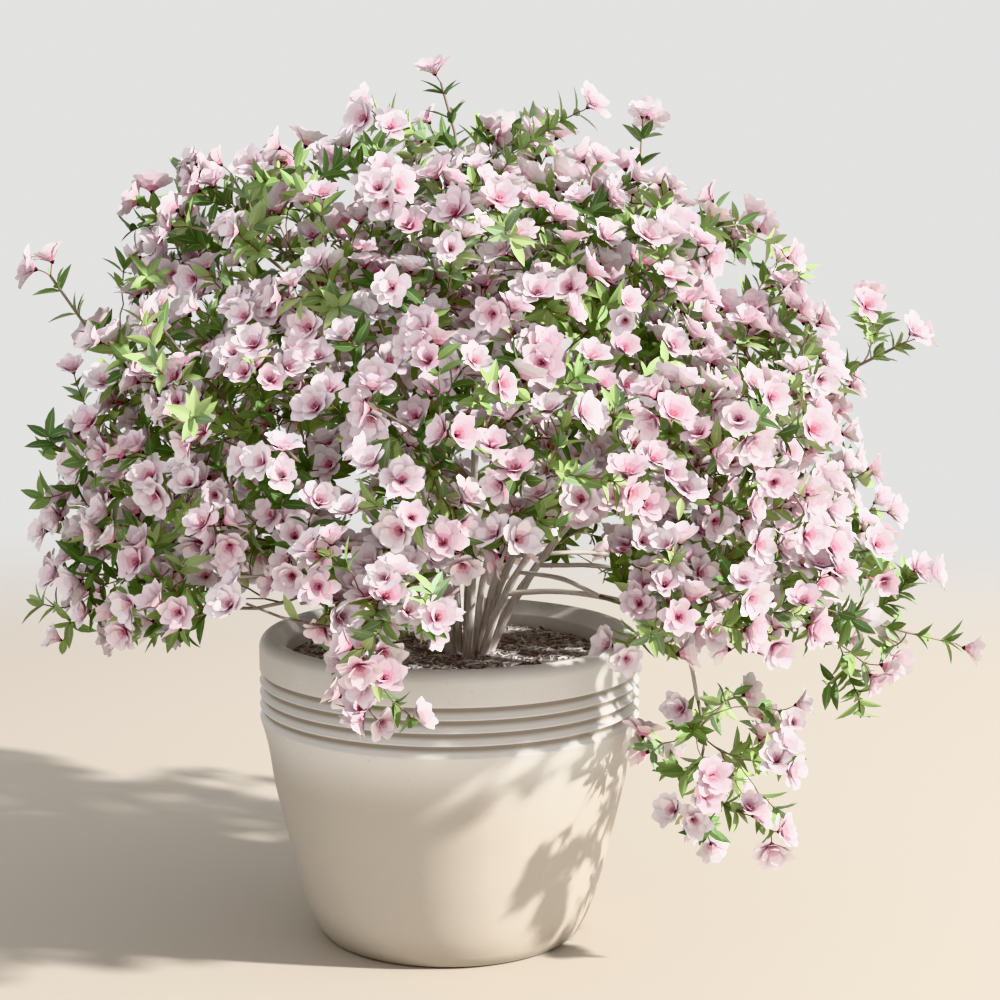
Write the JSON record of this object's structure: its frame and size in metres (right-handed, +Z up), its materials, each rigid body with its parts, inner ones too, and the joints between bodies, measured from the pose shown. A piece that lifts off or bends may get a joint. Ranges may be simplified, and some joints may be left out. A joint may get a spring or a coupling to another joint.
{
  "type": "azalea shrub in a planter",
  "caption": "Mounded azalea shrub in full pink-white bloom on a clump of thin stems, rooted in mulch in a round off-white glazed planter with fluted rings.",
  "frame": {"origin": "centre of the planter's flat underside", "axes": "+Z up, -Y towards the viewer of the picture, +X to the viewer's right"},
  "size_m": [0.9778, 0.8181, 0.9044],
  "materials": {
    "glaze": "satin",
    "mulch": "matte",
    "bark": "matte",
    "bloom": "matte"
  },
  "bodies": {
    "root": {"pot": "glaze", "soil": "mulch", "main_stem_1": "bark", "main_stem_2": "bark", "main_stem_3": "bark", "main_stem_4": "bark", "main_stem_5": "bark", "main_stem_6": "bark", "main_stem_7": "bark", "main_stem_8": "bark", "main_stem_9": "bark", "main_stem_10": "bark", "main_stem_11": "bark", "main_stem_12": "bark", "main_stem_13": "bark", "main_stem_14": "bark", "side_bough_1": "bark", "side_bough_2": "bark", "side_bough_3": "bark", "side_bough_4": "bark", "side_bough_5": "bark", "side_bough_6": "bark", "side_bough_7": "bark", "side_bough_8": "bark", "side_bough_9": "bark", "trailing_bough": "bark", "foliage_top": "bloom", "foliage_upper_1": "bloom", "foliage_upper_2": "bloom", "foliage_upper_3": "bloom", "foliage_upper_4": "bloom", "foliage_upper_5": "bloom", "foliage_middle_1": "bloom", "foliage_middle_2": "bloom", "foliage_middle_3": "bloom", "foliage_middle_4": "bloom", "foliage_middle_5": "bloom", "foliage_middle_6": "bloom", "foliage_middle_7": "bloom", "foliage_middle_8": "bloom", "foliage_lower_1": "bloom", "foliage_lower_2": "bloom", "foliage_lower_3": "bloom", "foliage_lower_4": "bloom", "foliage_lower_5": "bloom", "foliage_lower_6": "bloom", "foliage_lower_7": "bloom", "foliage_lower_8": "bloom", "foliage_lower_9": "bloom", "foliage_trailing": "bloom"}
  },
  "joints": []
}
